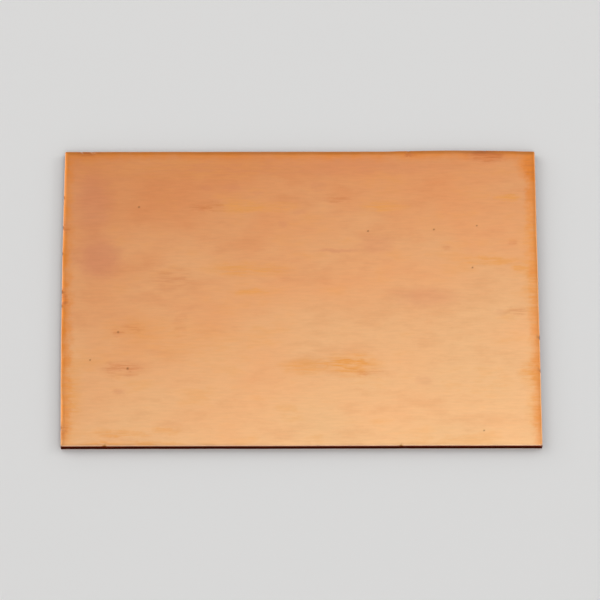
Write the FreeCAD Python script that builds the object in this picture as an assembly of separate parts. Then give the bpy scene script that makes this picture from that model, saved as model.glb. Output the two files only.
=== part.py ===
"""Copper plate, 300 x 200 x 6 mm: one flat solid of rolled stock, cut to size on a shear.

Millimetres, +Z up. The plate lies flat, with its length along X and its thickness along Z.
The origin is the middle of the underside.
"""

import FreeCAD, Part
import os

# Overall size. Length and width are measured over the widest points of the outline.
LENGTH = 300.0
WIDTH = 200.0
THICKNESS = 6.0

# The left end was cut in a slow curve: it bows out between its corners.
END_BOW = 0.8

# The back edge is straight but for one long low swell near the right end.
SWELL_HEIGHT = 0.7
SWELL_LENGTH = 90.0
SWELL_FROM_RIGHT_END = 6.0

# The shear draws the rim of the top face down in a small curve all round,
# and the burr that it leaves round the underside is dressed off at 45 degrees.
ROLLOVER_RADIUS = 0.6
BURR_DRESSING = 0.3

NODE = "plate"


def point(x, y):
    """A point of the outline, at the height of the underside."""
    return FreeCAD.Vector(x, y, 0.0)


def outline():
    """The sheared outline, anticlockwise from the front left corner."""
    left_crest = -LENGTH / 2
    left = left_crest + END_BOW
    right = LENGTH / 2
    front = -WIDTH / 2
    swell_crest = WIDTH / 2
    back = swell_crest - SWELL_HEIGHT
    swell_right = right - SWELL_FROM_RIGHT_END
    swell_left = swell_right - SWELL_LENGTH
    swell_middle = (swell_left + swell_right) / 2
    end_middle = (front + back) / 2

    front_edge = Part.LineSegment(point(left, front), point(right, front))
    right_end = Part.LineSegment(point(right, front), point(right, back))
    back_corner_run = Part.LineSegment(point(right, back), point(swell_right, back))
    swell = Part.Arc(point(swell_right, back), point(swell_middle, swell_crest), point(swell_left, back))
    back_run = Part.LineSegment(point(swell_left, back), point(left, back))
    left_end = Part.Arc(point(left, back), point(left_crest, end_middle), point(left, front))

    curves = [front_edge, right_end, back_corner_run, swell, back_run, left_end]
    return Part.Wire([curve.toShape() for curve in curves])


def rim(solid, height):
    """The edges that lie all along at a height."""
    return [
        edge
        for edge in solid.Edges
        if all(abs(vertex.Z - height) < BURR_DRESSING / 2 for vertex in edge.Vertexes)
    ]


def sheared_plate():
    """The blank, rolled over round its top face and dressed round its underside."""
    blank = Part.Face(outline()).extrude(FreeCAD.Vector(0.0, 0.0, THICKNESS))
    rolled = blank.makeFillet(ROLLOVER_RADIUS, rim(blank, THICKNESS))
    return rolled.makeChamfer(BURR_DRESSING, rim(rolled, 0.0))


plate = sheared_plate()
os.makedirs("parts", exist_ok=True)
plate.exportStep(os.path.join("parts", NODE + ".step"))

box = plate.BoundBox
print(f"{NODE}: valid {plate.isValid()}, {len(plate.Solids)} solid, {len(plate.Faces)} faces")
print(f"box {box.XLength:.3f} x {box.YLength:.3f} x {box.ZLength:.3f} mm, volume {plate.Volume / 1000:.2f} cm3")
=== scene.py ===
"""The looks of a sheared copper plate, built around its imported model. Metres, +Z up."""

import math

import bmesh
import bpy
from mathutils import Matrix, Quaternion, Vector, noise


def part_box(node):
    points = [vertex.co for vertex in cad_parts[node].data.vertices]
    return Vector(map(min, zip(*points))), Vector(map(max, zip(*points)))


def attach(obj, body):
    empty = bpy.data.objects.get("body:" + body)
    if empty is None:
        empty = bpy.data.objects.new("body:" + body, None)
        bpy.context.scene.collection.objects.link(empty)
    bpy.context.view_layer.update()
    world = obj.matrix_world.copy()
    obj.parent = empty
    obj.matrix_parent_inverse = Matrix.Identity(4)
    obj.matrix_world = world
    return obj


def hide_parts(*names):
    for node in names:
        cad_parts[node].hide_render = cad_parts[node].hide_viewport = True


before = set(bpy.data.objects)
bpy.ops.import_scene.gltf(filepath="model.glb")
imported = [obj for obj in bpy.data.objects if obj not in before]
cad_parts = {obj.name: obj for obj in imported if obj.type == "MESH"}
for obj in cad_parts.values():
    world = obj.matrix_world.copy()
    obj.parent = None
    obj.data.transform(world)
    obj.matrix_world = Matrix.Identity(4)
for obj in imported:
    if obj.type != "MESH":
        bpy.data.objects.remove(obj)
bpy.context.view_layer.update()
low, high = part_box("plate")

# ------------------------------------------------------------------------------ camera
# The camera looks down on the plate from in front through a long lens, a little off level.
CAMERA_AZIMUTH = math.radians(-1.60)
CAMERA_ELEVATION = math.radians(68.29)
CAMERA_ROLL = math.radians(1.405)
CAMERA_DISTANCE = 2.799
CAMERA_LENS = 267.3
AIM_RIGHT_OF_MIDDLE = -0.00015
AIM_BEHIND_MIDDLE = -0.00269

aim = Vector((AIM_RIGHT_OF_MIDDLE, AIM_BEHIND_MIDDLE, high.z))
towards_camera = Vector((
    math.sin(CAMERA_AZIMUTH) * math.cos(CAMERA_ELEVATION),
    -math.cos(CAMERA_AZIMUTH) * math.cos(CAMERA_ELEVATION),
    math.sin(CAMERA_ELEVATION),
))
bpy.ops.object.camera_add(location=aim + towards_camera * CAMERA_DISTANCE)
camera = bpy.context.object
camera.rotation_mode = "QUATERNION"
camera.rotation_quaternion = towards_camera.to_track_quat("Z", "Y") @ Quaternion((0, 0, 1), CAMERA_ROLL)
camera.data.lens = CAMERA_LENS
bpy.context.scene.camera = camera

# --------------------------------------------------------------------- plate: the blank
# One flat piece of rolled copper. The blank starts as a grid over its outline, whose left end
# bows out and whose back edge swells near the right end, and is drawn down to its thickness.
END_BOW = 0.0008
SWELL_HEIGHT = 0.0007
SWELL_LENGTH = 0.090
SWELL_FROM_RIGHT_END = 0.006
CELLS_ALONG = 96
CELLS_ACROSS = 64
TOUCH = 1e-5

thickness = high.z - low.z
length = high.x - low.x
width = high.y - low.y
cell = length / CELLS_ALONG


def select(piece, kind, keep):
    """Selects, in edit mode, only the vertices, edges or faces of a piece that keep() wants."""
    bpy.ops.mesh.select_mode(type=kind)
    bpy.ops.mesh.select_all(action="DESELECT")
    mesh = bmesh.from_edit_mesh(piece.data)
    elements = {"VERT": mesh.verts, "EDGE": mesh.edges, "FACE": mesh.faces}[kind]
    for element in elements:
        if keep(element):
            element.select_set(True)
    bmesh.update_edit_mesh(piece.data)


def pull(piece, place, move, reach, falloff="SMOOTH"):
    """Moves the vertex nearest to a place, and those within reach of it by less and less."""
    mesh = bmesh.from_edit_mesh(piece.data)
    nearest = min(mesh.verts, key=lambda vertex: (vertex.co - place).length_squared)
    spot = nearest.co.copy()
    select(piece, "VERT", lambda vertex: (vertex.co - spot).length < TOUCH)
    bpy.ops.transform.translate(
        value=move,
        use_proportional_edit=True,
        proportional_edit_falloff=falloff,
        proportional_size=reach,
    )


bpy.ops.object.select_all(action="DESELECT")
bpy.ops.mesh.primitive_grid_add(x_subdivisions=CELLS_ALONG, y_subdivisions=CELLS_ACROSS, size=1)
plate = bpy.context.object
plate.name = "copper_plate"
plate.scale = (length - END_BOW, width - SWELL_HEIGHT, 1)
plate.location = ((low.x + high.x + END_BOW) / 2, (low.y + high.y - SWELL_HEIGHT) / 2, low.z)
bpy.ops.object.transform_apply(location=True, rotation=True, scale=True)

bpy.ops.object.mode_set(mode="EDIT")
end_middle = Vector((low.x + END_BOW, (low.y + high.y) / 2, low.z))
pull(plate, end_middle, (-END_BOW, 0, 0), reach=width / 2, falloff="INVERSE_SQUARE")
swell_middle = Vector((high.x - SWELL_FROM_RIGHT_END - SWELL_LENGTH / 2, high.y, low.z))
pull(plate, swell_middle, (0, SWELL_HEIGHT, 0), reach=SWELL_LENGTH / 2, falloff="INVERSE_SQUARE")

bpy.ops.mesh.select_all(action="SELECT")
bpy.ops.mesh.extrude_region_move(TRANSFORM_OT_translate={"value": (0, 0, thickness)})
bpy.ops.mesh.select_all(action="SELECT")
bpy.ops.mesh.normals_make_consistent(inside=False)

# ------------------------------------------------------------- plate: the sheared edges
# The blade rolls the top rim over, burnishes the upper part of the wall and tears the rest
# away. The burr under the plate is dressed off. The wall is cut fine enough to carry this.
ROLLOVER_RADIUS = 0.0006
BURR_DRESSING = 0.0003
WALL_ROWS = 12
CUTS_ALONG_THE_RIM = 4
RIM_WIDTH = 0.0025
ROLLOVER_FACETS = 4


def is_rim(height):
    """A test for the edges that run round the outline at a height."""
    def test(edge):
        level = all(abs(vertex.co.z - height) < TOUCH for vertex in edge.verts)
        return level and any(abs(face.normal.z) < 0.5 for face in edge.link_faces)
    return test


def is_upright(edge):
    """True for the edges that climb the wall from the dressing to the rollover."""
    first, second = edge.verts
    return abs(first.co.z - second.co.z) > thickness / 2


def runs_round(edge):
    """True for the long edges of the wall and its rims that run along the outline."""
    on_the_wall = all(
        any(abs(face.normal.z) < 0.9999 for face in vertex.link_faces) for vertex in edge.verts
    )
    return on_the_wall and edge.calc_length() > cell * 0.7


select(plate, "EDGE", is_rim(high.z))
bpy.ops.mesh.bevel(offset=ROLLOVER_RADIUS, segments=ROLLOVER_FACETS, profile=0.5, affect="EDGES")
select(plate, "EDGE", is_rim(low.z))
bpy.ops.mesh.bevel(offset=BURR_DRESSING, segments=1, affect="EDGES")
select(plate, "EDGE", is_upright)
bpy.ops.mesh.subdivide(number_cuts=WALL_ROWS - 1)
select(plate, "EDGE", runs_round)
bpy.ops.mesh.subdivide(number_cuts=CUTS_ALONG_THE_RIM)

# ---------------------------------------------------------- plate: pits and rim damage
# Grit rolled into the face left small pits, and the rim was knocked in handling. Both hold
# dark residue. Each is given as its place along and across the plate, its reach and depth.
PITS = [
    (-0.1018, 0.0609, 0.0011, 0.00013),
    (0.0431, 0.0442, 0.0010, 0.00011),
    (0.0848, 0.0452, 0.0010, 0.00011),
    (0.1120, 0.0478, 0.0009, 0.00008),
    (0.1087, 0.0192, 0.0010, 0.00010),
    (-0.1315, -0.0428, 0.0010, 0.00010),
    (-0.1080, -0.0485, 0.0013, 0.00012),
    (0.1138, -0.0901, 0.0009, 0.00007),
    (-0.1142, -0.0241, 0.0012, 0.00008),
]
RIM_KNOCKS = [
    (-0.1500, 0.0671, 0.0016, 0.00013),
    (-0.1500, 0.0468, 0.0014, 0.00021),
    (-0.1500, 0.0290, 0.0012, 0.00017),
    (-0.1500, 0.0029, 0.0015, 0.00018),
    (-0.1500, -0.0065, 0.0012, 0.00013),
    (-0.1500, -0.0880, 0.0018, 0.00015),
    (-0.1383, 0.1000, 0.0014, 0.00018),
    (-0.1315, 0.1000, 0.0018, 0.00018),
    (0.0698, 0.1000, 0.0020, 0.00021),
    (0.1182, 0.1000, 0.0014, 0.00015),
    (0.1269, 0.1000, 0.0014, 0.00013),
    (0.1500, -0.0282, 0.0016, 0.00024),
    (0.1500, -0.0504, 0.0013, 0.00015),
    (0.0620, -0.1000, 0.0012, 0.00011),
    (-0.1220, -0.1000, 0.0015, 0.00013),
]
KNOCK_SLANT = 0.6  # how far a knock goes down for each step inwards
CORNER_KNOCK_SLANT = 0.5
CORNER_KNOCK_REACH = 0.0016
CORNER_KNOCK_DEPTH = 0.00015
PIT_CUTS = 5

for along, across, reach, depth in PITS:
    spot = Vector((along, across, high.z))
    select(plate, "FACE", lambda face: (face.calc_center_median() - spot).length < cell)
    bpy.ops.mesh.subdivide(number_cuts=PIT_CUTS)
    pull(plate, spot, (0, 0, -depth), reach)

middle = (low + high) / 2
rim_height = high.z - ROLLOVER_RADIUS / 2
for along, across, reach, depth in RIM_KNOCKS:
    on_an_end = abs(along - middle.x) > length / 2 - TOUCH * 10
    if on_an_end:
        push = Vector((-math.copysign(1, along), 0, -KNOCK_SLANT))
    else:
        push = Vector((0, -math.copysign(1, across), -KNOCK_SLANT))
    pull(plate, Vector((along, across, rim_height)), push * depth, reach)

for side in (-1, 1):
    for end in (-1, 1):
        corner = Vector((end * length / 2, side * width / 2, rim_height))
        push = Vector((-end, -side, -CORNER_KNOCK_SLANT)) * CORNER_KNOCK_DEPTH
        pull(plate, corner, push, CORNER_KNOCK_REACH)

bpy.ops.object.mode_set(mode="OBJECT")

# ------------------------------------------------------------- plate: torn and worn wall
# The tear starts at a wavering line a little above half height. Below it the metal is rough
# and stands back. The whole wall wanders a little, as the blade did.
TEAR_HEIGHT = 0.0034
TEAR_WAVER = 0.0007
TEAR_WAVE = 0.016
TEAR_FADE = 0.0005
BLADE_WANDER = 0.00014
BLADE_WAVE = 0.022
TORN_DEPTH = 0.00022
TORN_GRAIN = 0.0009
SHARP_EDGE = math.radians(40)


def from_outline(place):
    """How far a place lies inside the outline."""
    return min(place.x - low.x, high.x - place.x, place.y - low.y, high.y - place.y)


def torn(place):
    """How torn the wall is at a place, from 0 on the burnished part to 1 in the tear."""
    if from_outline(place) > RIM_WIDTH or place.z < low.z + BURR_DRESSING + TOUCH:
        return 0.0
    start = TEAR_HEIGHT + TEAR_WAVER * noise.noise(Vector((place.x, place.y, 0)) / TEAR_WAVE)
    return min(max((start - (place.z - low.z)) / TEAR_FADE, 0.0), 1.0)


def residue(place):
    """How much dark residue lies at a place: all of it in a pit or knock, none beyond its rim."""
    most = 0.0
    for along, across, reach, _ in PITS + RIM_KNOCKS:
        far = math.hypot(place.x - along, place.y - across) / reach
        most = max(most, 1.0 - far)
    return most


wall_group = plate.vertex_groups.new(name="whole wall")
torn_group = plate.vertex_groups.new(name="torn wall")
torn_shares = []
residue_shares = []
for vertex in plate.data.vertices:
    place = vertex.co
    on_the_wall = low.z + TOUCH < place.z < high.z - TOUCH and from_outline(place) < RIM_WIDTH
    torn_shares.append(torn(place) if on_the_wall else 0.0)
    residue_shares.append(residue(place) if place.z > high.z - RIM_WIDTH else 0.0)
    if on_the_wall:
        wall_group.add([vertex.index], 1.0, "REPLACE")
        torn_group.add([vertex.index], torn_shares[-1], "REPLACE")
for name, shares in (("torn", torn_shares), ("residue", residue_shares)):
    plate.data.attributes.new(name, "FLOAT", "POINT").data.foreach_set("value", shares)


def roughen(piece, name, group, depth, grain):
    """Eats cloudy hollows, up to a depth, into a group of vertices."""
    texture = bpy.data.textures.new(name, "CLOUDS")
    texture.noise_scale = grain
    texture.noise_depth = 2
    modifier = piece.modifiers.new(name, "DISPLACE")
    modifier.texture = texture
    modifier.texture_coords = "LOCAL"
    modifier.vertex_group = group
    modifier.strength = depth
    modifier.mid_level = 1.0
    bpy.ops.object.modifier_apply(modifier=name)


roughen(plate, "blade wander", "whole wall", BLADE_WANDER, BLADE_WAVE)
roughen(plate, "tear", "torn wall", TORN_DEPTH, TORN_GRAIN)
bpy.ops.object.shade_smooth_by_angle(angle=SHARP_EDGE)

# ---------------------------------------------------------------- finish: rolled copper
# Satin copper as it left the rolls: fine streaks along the length. It goes from bronzed at the
# back left to bright at the front right, partly as tarnish and partly as painted shade and painted
# light. It is scorched orange along three of its margins, stained where it lay wet, and carries a
# painted highlight along its rim.
# The first two colours carry painted shade and painted light as well as tarnish.
BRONZED_AND_SHADED = (0.78, 0.282, 0.104, 1)
BRIGHT_AND_LIT = (0.95, 0.575, 0.285, 1)
DUSK = (0.71, 0.260, 0.135, 1)
AMBER = (0.86, 0.370, 0.100, 1)
SCORCHED = (0.84, 0.270, 0.046, 1)
RUSSET = (0.67, 0.205, 0.064, 1)
RIM_HIGHLIGHT = (0.99, 0.680, 0.460, 1)
SOOT = (0.34, 0.150, 0.055, 1)


def add(tree, kind, inputs=None, **settings):
    """A new shader node. Each input is a value or another node's output."""
    node = tree.nodes.new(kind)
    for name, value in settings.items():
        setattr(node, name, value)
    for key, value in (inputs or {}).items():
        if isinstance(value, bpy.types.NodeSocket):
            tree.links.new(value, node.inputs[key])
        else:
            node.inputs[key].default_value = value
    return node


def math_node(tree, operation, *values):
    """A Math node's output."""
    return add(tree, "ShaderNodeMath", dict(enumerate(values)), operation=operation).outputs[0]


def vector_node(tree, operation, *values):
    """A Vector Math node's output."""
    return add(tree, "ShaderNodeVectorMath", dict(enumerate(values)), operation=operation).outputs[0]


def tint(tree, amount, colour, stain):
    """A colour with a stain laid over it by an amount."""
    return add(tree, "ShaderNodeMix", {0: amount, 6: colour, 7: stain}, data_type="RGBA").outputs[2]


def stretch(tree, place, scale, detail, roughness=0.55, distortion=0.0):
    """Noise from 0 to 1, with its own scale along each axis."""
    mapping = add(tree, "ShaderNodeMapping", {"Vector": place, "Scale": scale})
    settings = {
        "Vector": mapping.outputs[0],
        "Scale": 1.0,
        "Detail": detail,
        "Roughness": roughness,
        "Distortion": distortion,
    }
    return add(tree, "ShaderNodeTexNoise", settings).outputs["Fac"]


def between(tree, value, start, end, low_value=0.0, high_value=1.0):
    """A value carried smoothly from one range into another, and held at its ends."""
    inputs = {"Value": value, 1: start, 2: end, 3: low_value, 4: high_value}
    return add(tree, "ShaderNodeMapRange", inputs, interpolation_type="SMOOTHSTEP").outputs[0]


# A stain patch is an oval on the plate, full in its core and gone at its rim. It takes in the
# plate's rim below it and fades before the underside.
PATCH_CORE = 0.25
PATCH_DEPTH = 0.005

patch_group = bpy.data.node_groups.new("stain patch", "ShaderNodeTree")
patch_group.interface.new_socket("Place", in_out="INPUT", socket_type="NodeSocketVector")
patch_group.interface.new_socket("Middle", in_out="INPUT", socket_type="NodeSocketVector")
patch_group.interface.new_socket("Half Size", in_out="INPUT", socket_type="NodeSocketVector")
patch_group.interface.new_socket("Strength", in_out="INPUT", socket_type="NodeSocketFloat")
patch_group.interface.new_socket("So Far", in_out="INPUT", socket_type="NodeSocketFloat")
patch_group.interface.new_socket("Amount", in_out="OUTPUT", socket_type="NodeSocketFloat")
group_in = add(patch_group, "NodeGroupInput")
group_out = add(patch_group, "NodeGroupOutput")
offset = vector_node(patch_group, "SUBTRACT", group_in.outputs["Place"], group_in.outputs["Middle"])
share = vector_node(patch_group, "DIVIDE", offset, group_in.outputs["Half Size"])
far = add(patch_group, "ShaderNodeVectorMath", {0: share}, operation="LENGTH").outputs["Value"]
fade = between(patch_group, far, 1.0, PATCH_CORE)
patch_amount = math_node(
    patch_group, "MULTIPLY_ADD", fade, group_in.outputs["Strength"], group_in.outputs["So Far"]
)
patch_group.links.new(patch_amount, group_out.inputs["Amount"])

# Each patch is given as its place along and across, its half length and width, and strength.
SCORCHED_PATCHES = [
    (-0.149, -0.082, 0.008, 0.0280, 0.60),
    (-0.060, 0.100, 0.120, 0.0060, 0.50),
    (0.149, 0.092, 0.014, 0.0180, 0.90),
    (0.149, 0.070, 0.008, 0.0240, 0.70),
]
AMBER_PATCHES = [
    (0.146, -0.052, 0.011, 0.0160, 0.80),
    (0.147, -0.076, 0.009, 0.0180, 0.70),
    (0.147, 0.020, 0.008, 0.0600, 0.70),
    (-0.146, -0.070, 0.013, 0.0400, 0.60),
    (-0.060, 0.088, 0.100, 0.0120, 0.30),
    (-0.110, -0.099, 0.045, 0.0035, 0.80),
    (-0.112, -0.092, 0.026, 0.0030, 0.70),
    (-0.084, -0.090, 0.012, 0.0035, 0.60),
    (0.032, -0.046, 0.024, 0.0110, 1.00),
    (0.003, -0.047, 0.022, 0.0080, 0.60),
    (-0.075, -0.030, 0.060, 0.0200, 0.25),
    (-0.032, 0.018, 0.036, 0.0070, 0.70),
    (-0.031, 0.003, 0.018, 0.0030, 0.70),
    (0.120, 0.024, 0.030, 0.0045, 0.70),
    (0.138, 0.019, 0.008, 0.0030, 0.70),
    (0.132, 0.067, 0.012, 0.0035, 0.90),
    (0.054, 0.061, 0.020, 0.0060, 0.70),
    (-0.028, 0.061, 0.036, 0.0055, 0.70),
]
RUSSET_PATCHES = [
    (-0.150, 0.047, 0.0055, 0.0070, 0.90),
    (-0.150, -0.001, 0.006, 0.0120, 0.80),
    (-0.150, -0.089, 0.0045, 0.0100, 0.70),
    (-0.135, 0.098, 0.010, 0.0030, 1.00),
    (0.070, 0.097, 0.005, 0.0020, 1.00),
    (0.119, 0.096, 0.017, 0.0070, 0.90),
    (0.147, 0.088, 0.006, 0.0120, 0.50),
    (-0.058, 0.061, 0.014, 0.0050, 0.55),
    (0.023, 0.066, 0.013, 0.0030, 0.40),
    (-0.111, -0.049, 0.020, 0.0075, 0.50),
    (-0.105, -0.021, 0.010, 0.0050, 0.35),
    (-0.114, -0.024, 0.006, 0.0035, 0.50),
    (-0.075, -0.019, 0.006, 0.0135, 0.20),
    (0.093, 0.033, 0.005, 0.0035, 0.35),
    (0.136, 0.036, 0.005, 0.0035, 0.30),
    (-0.079, 0.012, 0.023, 0.0100, 0.30),
    (0.136, -0.010, 0.010, 0.0045, 0.35),
    (0.045, -0.052, 0.016, 0.0035, 0.30),
]
DUSK_PATCHES = [
    (-0.131, 0.064, 0.017, 0.0300, 0.65),
    (-0.127, 0.026, 0.020, 0.0200, 0.85),
    (0.079, -0.001, 0.030, 0.0100, 0.40),
    (0.048, 0.035, 0.016, 0.0090, 0.30),
    (0.000, 0.088, 0.130, 0.0080, 0.35),
    (-0.060, 0.074, 0.006, 0.0025, 0.30),
    (-0.043, 0.074, 0.010, 0.0035, 0.30),
    (-0.027, 0.071, 0.007, 0.0025, 0.25),
    (0.011, 0.075, 0.007, 0.0050, 0.25),
    (-0.011, 0.049, 0.005, 0.0035, 0.30),
    (0.023, 0.031, 0.020, 0.0020, 0.50),
    (0.001, 0.057, 0.007, 0.0025, 0.30),
    (-0.113, -0.064, 0.006, 0.0030, 0.45),
    (0.077, -0.057, 0.008, 0.0050, 0.25),
    (0.126, -0.011, 0.007, 0.0030, 0.25),
]


def stained(tree, place, patches):
    """How strongly a list of patches stains each place."""
    amount = 0.0
    for along, across, half_length, half_width, strength in patches:
        patch = add(tree, "ShaderNodeGroup", node_tree=patch_group)
        tree.links.new(place, patch.inputs["Place"])
        patch.inputs["Middle"].default_value = (along, across, high.z)
        patch.inputs["Half Size"].default_value = (half_length, half_width, PATCH_DEPTH)
        patch.inputs["Strength"].default_value = strength
        if amount:
            tree.links.new(amount, patch.inputs["So Far"])
        amount = patch.outputs["Amount"]
    return amount


rolled = bpy.data.materials.new("rolled copper")
rolled.use_nodes = True
tree = rolled.node_tree
surface = tree.nodes["Principled BSDF"]
place = add(tree, "ShaderNodeTexCoord").outputs["Object"]
axes = add(tree, "ShaderNodeSeparateXYZ", {0: place})

# Places are shifted a little, at random, so that whatever follows a margin or a patch frays.
FRAY_SCALE = 150.0
FRAY_REACH = (0.012, 0.006, 0.0)

fray = {"Vector": place, "Scale": FRAY_SCALE, "Detail": 5.0, "Roughness": 0.65}
wobble = add(tree, "ShaderNodeTexNoise", fray).outputs["Color"]
centred = vector_node(tree, "SUBTRACT", wobble, (0.5, 0.5, 0.5))
frayed = vector_node(tree, "MULTIPLY_ADD", centred, FRAY_REACH, place)

# The rolls left fine grain and broader streaks along the length. Clouds have no direction.
grain = stretch(tree, place, (110, 800, 800), detail=4.0)
streaks = stretch(tree, place, (75, 560, 560), detail=4.0, roughness=0.6, distortion=0.6)
clouds = stretch(tree, place, (13, 22, 22), detail=3.0)
mottle = stretch(tree, place, (28, 75, 75), detail=6.0, roughness=0.68)

# The bare metal goes from bronzed to bright across the plate, partly tarnish and partly painted shade
# and painted light, with clouds and faint mottling.
TARNISH_AND_LIGHT_ALONG = 0.8
TARNISH_AND_LIGHT_ACROSS = -3.8
TONE_CLOUDS = 0.9
RUSSET_MOTTLING = 0.18
AMBER_MOTTLING = 0.30

tarnish_and_light_along = math_node(tree, "MULTIPLY_ADD", axes.outputs["X"], TARNISH_AND_LIGHT_ALONG, 0.5)
tarnish_and_light = math_node(tree, "MULTIPLY_ADD", axes.outputs["Y"], TARNISH_AND_LIGHT_ACROSS, tarnish_and_light_along)
centred_clouds = math_node(tree, "SUBTRACT", clouds, 0.5)
cloudy_tarnish_and_light = math_node(tree, "MULTIPLY_ADD", centred_clouds, TONE_CLOUDS, tarnish_and_light)
metal = tint(tree, between(tree, cloudy_tarnish_and_light, -0.25, 1.25), BRONZED_AND_SHADED, BRIGHT_AND_LIT)
metal = tint(tree, between(tree, mottle, 0.46, 0.70, 0.0, RUSSET_MOTTLING), metal, RUSSET)
metal = tint(tree, between(tree, mottle, 0.50, 0.30, 0.0, AMBER_MOTTLING), metal, AMBER)

# Purplish and amber patches lie on the face, and the amber breaks up along the streaks.
DUSK_SHARE = 0.7

dusk = math_node(tree, "MULTIPLY", stained(tree, frayed, DUSK_PATCHES), DUSK_SHARE)
amber_streaks = between(tree, streaks, 0.38, 0.60, 0.25, 1.0)
amber = math_node(tree, "MULTIPLY", stained(tree, frayed, AMBER_PATCHES), amber_streaks)
metal = tint(tree, dusk, metal, DUSK)
metal = tint(tree, amber, metal, AMBER)

# The left, right and back margins are scorched in a blotchy band. Each is given as the axis
# across it, the way inwards along that axis, its edge, its reach and its strength.
MARGINS = [
    ("X", 1, low.x, 0.0090, 0.95),
    ("X", -1, high.x, 0.0085, 0.70),
    ("Y", -1, high.y, 0.0090, 0.95),
]

frayed_axes = add(tree, "ShaderNodeSeparateXYZ", {0: frayed})
margin = 0.0
for axis, inwards, edge, reach, strength in MARGINS:
    inside = math_node(tree, "MULTIPLY_ADD", frayed_axes.outputs[axis], inwards, -inwards * edge)
    margin = math_node(tree, "MAXIMUM", margin, between(tree, inside, reach, 0.0, 0.0, strength))
blotches = between(tree, stretch(tree, place, (45, 45, 45), detail=4.0), 0.32, 0.58, 0.55, 1.0)
blotchy_margin = math_node(tree, "MULTIPLY", margin, blotches)
scorched = math_node(tree, "MAXIMUM", blotchy_margin, stained(tree, frayed, SCORCHED_PATCHES))
metal = tint(tree, scorched, metal, SCORCHED)

# Russet patches lie over all of this and break up into flames along the streaks.
flames = between(tree, between(tree, streaks, 0.40, 0.62), 0.0, 1.0, 0.2, 1.0)
russet = math_node(tree, "MULTIPLY", stained(tree, frayed, RUSSET_PATCHES), flames)
metal = tint(tree, russet, metal, RUSSET)

# A painted highlight lies along the rolled-over rim, but not on the underside, and not where residue
# lies in a knock. The residue is painted over it.
RIM_HIGHLIGHT_START = 0.00002
RIM_HIGHLIGHT_FULL = 0.00020
RIM_HIGHLIGHT_STRENGTH = 0.8
RESIDUE_STRENGTH = 0.75

residue_there = add(tree, "ShaderNodeAttribute", attribute_name="residue").outputs["Fac"]
height = axes.outputs["Z"]
rim_highlight = between(tree, height, high.z - RIM_HIGHLIGHT_START, high.z - RIM_HIGHLIGHT_FULL, 0.0, RIM_HIGHLIGHT_STRENGTH)
clean = between(tree, residue_there, 0.0, 0.2, 1.0, 0.0)
upper_half = between(tree, height, middle.z, high.z - ROLLOVER_RADIUS)
rim_highlight = math_node(tree, "MULTIPLY", math_node(tree, "MULTIPLY", rim_highlight, clean), upper_half)
metal = tint(tree, rim_highlight, metal, RIM_HIGHLIGHT)
metal = tint(tree, between(tree, residue_there, 0.05, 0.9, 0.0, RESIDUE_STRENGTH), metal, SOOT)

# Grain shades the metal a little and stands in faint relief. Clouds dull the sheen in places.
GRAIN_SHADE = (0.98, 1.02)
SHEEN = (0.34, 0.42)
RESIDUE_DULLING = 0.3
GRAIN_RELIEF = 0.05
GRAIN_DEPTH = 0.0003

shade = between(tree, grain, 0.3, 0.7, *GRAIN_SHADE)
shaded = add(tree, "ShaderNodeVectorMath", {0: metal, "Scale": shade}, operation="SCALE").outputs[0]
tree.links.new(shaded, surface.inputs["Base Color"])
surface.inputs["Metallic"].default_value = 1.0
sheen = between(tree, clouds, 0.3, 0.7, *SHEEN)
dulled = math_node(tree, "MULTIPLY_ADD", residue_there, RESIDUE_DULLING, sheen)
tree.links.new(dulled, surface.inputs["Roughness"])
relief = {"Strength": GRAIN_RELIEF, "Distance": GRAIN_DEPTH, "Height": grain}
tree.links.new(add(tree, "ShaderNodeBump", relief).outputs[0], surface.inputs["Normal"])

# --------------------------------------------------------------- finish: sheared copper
# The wall is dark brown, partly as oxide since it was cut and partly as painted shade. Its burnished
# part still shines and is scored upright by the blade. The torn part is dull and holds dirt in its
# hollows.
# These wall colours are darkened well past bare copper: part oxide, part painted shade.
SHADED_BURNISHED = (0.30, 0.070, 0.020, 1)
SHADED_BURNISHED_DARK = (0.17, 0.036, 0.010, 1)
SHADED_TORN = (0.11, 0.026, 0.008, 1)
SHADED_TORN_DARK = (0.045, 0.010, 0.004, 1)
GRAZING_TINT = (0.45, 0.20, 0.12, 1)
BURNISHED_TO_TORN = (0.36, 0.62)
WALL_RELIEF = 0.5
WALL_DEPTH = 0.0002

sheared = bpy.data.materials.new("sheared copper")
sheared.use_nodes = True
tree = sheared.node_tree
surface = tree.nodes["Principled BSDF"]
place = add(tree, "ShaderNodeTexCoord").outputs["Object"]
score = stretch(tree, place, (1900, 1900, 90), detail=3.0)
hollows = stretch(tree, place, (1300, 1300, 1900), detail=5.0)
tear = add(tree, "ShaderNodeAttribute", attribute_name="torn").outputs["Fac"]
upper = tint(tree, between(tree, score, 0.3, 0.7), SHADED_BURNISHED_DARK, SHADED_BURNISHED)
lower = tint(tree, between(tree, hollows, 0.35, 0.65), SHADED_TORN_DARK, SHADED_TORN)
tree.links.new(tint(tree, tear, upper, lower), surface.inputs["Base Color"])
surface.inputs["Metallic"].default_value = 1.0
surface.inputs["Specular Tint"].default_value = GRAZING_TINT
tree.links.new(between(tree, tear, 0.0, 1.0, *BURNISHED_TO_TORN), surface.inputs["Roughness"])
relief = {"Strength": WALL_RELIEF, "Distance": WALL_DEPTH, "Height": tint(tree, tear, score, hollows)}
tree.links.new(add(tree, "ShaderNodeBump", relief).outputs[0], surface.inputs["Normal"])

plate.data.materials.append(rolled)
plate.data.materials.append(sheared)
for face in plate.data.polygons:
    below_rollover = face.center.z < high.z - ROLLOVER_RADIUS
    above_dressing = face.center.z > low.z + BURR_DRESSING
    on_the_wall = from_outline(face.center) < RIM_WIDTH and abs(face.normal.z) < 0.7
    face.material_index = 1 if below_rollover and above_dressing and on_the_wall else 0

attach(plate, "root")
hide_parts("plate")

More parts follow.
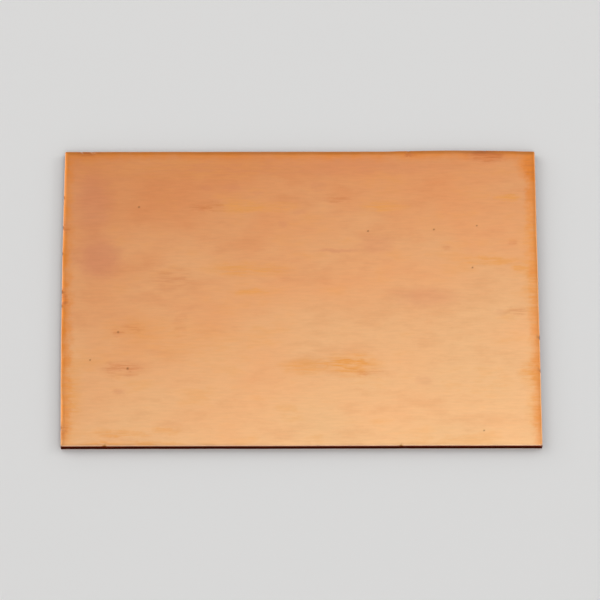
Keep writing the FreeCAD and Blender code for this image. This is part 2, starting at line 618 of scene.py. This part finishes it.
# -------------------------------------------------------------------------------- floor
# A wide pale floor, a little warm and quite matt. It fills every view from above, and isn't
# part of the object.
FLOOR_SIZE = 12.0
FLOOR_COLOUR = (0.84, 0.835, 0.825, 1)
FLOOR_ROUGHNESS = 0.85

bpy.ops.object.select_all(action="DESELECT")
bpy.ops.mesh.primitive_plane_add(size=FLOOR_SIZE, location=(0, 0, low.z))
floor = bpy.context.object
floor.name = "floor"
paint = bpy.data.materials.new("pale floor")
paint.use_nodes = True
paint_surface = paint.node_tree.nodes["Principled BSDF"]
paint_surface.inputs["Base Color"].default_value = FLOOR_COLOUR
paint_surface.inputs["Roughness"].default_value = FLOOR_ROUGHNESS
floor.data.materials.append(paint)

# ------------------------------------------------------------------------------- lights
# A large softbox hangs above and behind the plate, where the satin face mirrors it to the
# camera. One at the left casts the soft shadow, and those in front and at the right are
# mirrored by the rolled-over rim. The world lights the rest evenly.


def softbox(name, place, size, radiance):
    """A square area light that faces the plate."""
    bpy.ops.object.light_add(type="AREA", location=place)
    light = bpy.context.object
    light.name = name
    light.data.shape = "SQUARE"
    light.data.size = size
    light.data.energy = radiance * math.pi * size * size
    light.rotation_euler = Vector(place).to_track_quat("Z", "Y").to_euler()


softbox("key softbox", (0.27, 0.33, 2.0), size=1.25, radiance=0.74)
softbox("side softbox", (-2.2, 1.2, 1.6), size=2.2, radiance=1.2)
softbox("front softbox", (0.4, -1.5, 2.1), size=0.7, radiance=4.0)
softbox("right softbox", (2.1, 0.7, 1.5), size=0.8, radiance=3.5)

WORLD_HORIZON = (0.48, 0.48, 0.49, 1)
WORLD_ZENITH = (0.54, 0.54, 0.54, 1)
BACKDROP = (0.66, 0.655, 0.645, 1)

world = bpy.data.worlds.new("studio")
world.use_nodes = True
bpy.context.scene.world = world
tree = world.node_tree
direction = add(tree, "ShaderNodeTexCoord").outputs["Generated"]
climb = add(tree, "ShaderNodeSeparateXYZ", {0: direction}).outputs["Z"]
studio = tint(tree, between(tree, climb, 0.0, 0.9), WORLD_HORIZON, WORLD_ZENITH)
seen = add(tree, "ShaderNodeLightPath").outputs["Is Camera Ray"]
tree.links.new(tint(tree, seen, studio, BACKDROP), tree.nodes["Background"].inputs["Color"])

bpy.context.scene.view_settings.view_transform = "Standard"
